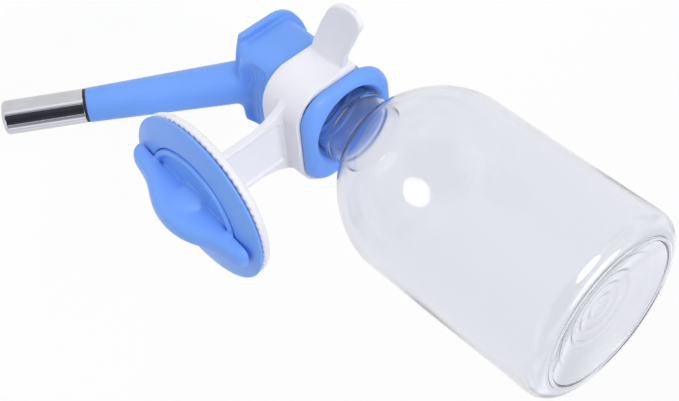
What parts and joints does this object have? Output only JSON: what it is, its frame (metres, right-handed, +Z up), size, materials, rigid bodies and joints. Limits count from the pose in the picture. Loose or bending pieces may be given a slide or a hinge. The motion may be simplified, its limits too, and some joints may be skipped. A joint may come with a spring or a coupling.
{
  "type": "small animal water bottle",
  "caption": "Inverted clear bottle on a blue ball-valve drinking head, held to cage wire by a white clip bracket with a winged screw clamp.",
  "frame": {"origin": "centre of the bracket's round clamp face, where the cage wires lie", "axes": "+Y from the cage wall to the bottle, +Z up with the bottle hanging neck down, the finger tab on the -X side"},
  "size_m": [0.087, 0.1232, 0.2149],
  "materials": {
    "clear_plastic": "clear glossy",
    "blue_plastic": "satin moulded",
    "white_plastic": "satin moulded",
    "polished_steel": "polished",
    "ball_steel": "polished",
    "spring_steel": "drawn wire",
    "black_rubber": "matt",
    "gasket_rubber": "matt"
  },
  "bodies": {
    "bracket": {"bracket": "white_plastic", "clamp_stud": "white_plastic"},
    "latch": {"clip_latch": "white_plastic"},
    "plate": {"clamp_plate": "blue_plastic"},
    "wing": {"wing_nut": "blue_plastic"},
    "head": {"head_housing": "blue_plastic", "spout_o_ring": "black_rubber", "nozzle_sleeve": "polished_steel", "valve_seat": "gasket_rubber", "spring_retainer": "white_plastic", "ball_spring": "spring_steel"},
    "gasket": {"bottle_gasket": "gasket_rubber"},
    "bottle": {"bottle": "clear_plastic"},
    "ball": {"nozzle_ball": "ball_steel"}
  },
  "joints": [
    {"name": "plate_travel", "type": "slide", "parent": "bracket", "child": "plate", "axis": [0, -1, 0], "range_m": [0, 0.009]},
    {"name": "wing_spin", "type": "hinge", "parent": "plate", "child": "wing", "pos_m": [0, 0, 0], "axis": [0, -1, 0], "range_deg": [0, 1080]},
    {"name": "latch_flex", "type": "hinge", "parent": "bracket", "child": "latch", "pos_m": [-0.0205, 0.05035, 0], "axis": [0, 0, 1], "range_deg": [0, 8], "stiffness_Nm_per_rad": 2},
    {"name": "head_slide", "type": "slide", "parent": "bracket", "child": "head", "axis": [0, 1, 0], "range_m": [0, 0.045]},
    {"name": "gasket_spin", "type": "hinge", "parent": "head", "child": "gasket", "pos_m": [0, 0.0587, 0], "axis": [0, 0, 1], "range_deg": [0, 720]},
    {"name": "bottle_travel", "type": "slide", "parent": "gasket", "child": "bottle", "axis": [0, 0, 1], "range_m": [0, 0.00636]},
    {"name": "ball_push", "type": "slide", "parent": "head", "child": "ball", "axis": [0, 0.832, 0.5548], "range_m": [0, 0.002], "stiffness_N_per_m": 150, "springref_m": -0.002, "deforming": ["ball_spring"]}
  ],
  "couplings": [
    {"joint": "plate_travel", "follows": "wing_spin", "m_per_rad": 0.00047746},
    {"joint": "bottle_travel", "follows": "gasket_spin", "m_per_rad": 0.00050611}
  ]
}
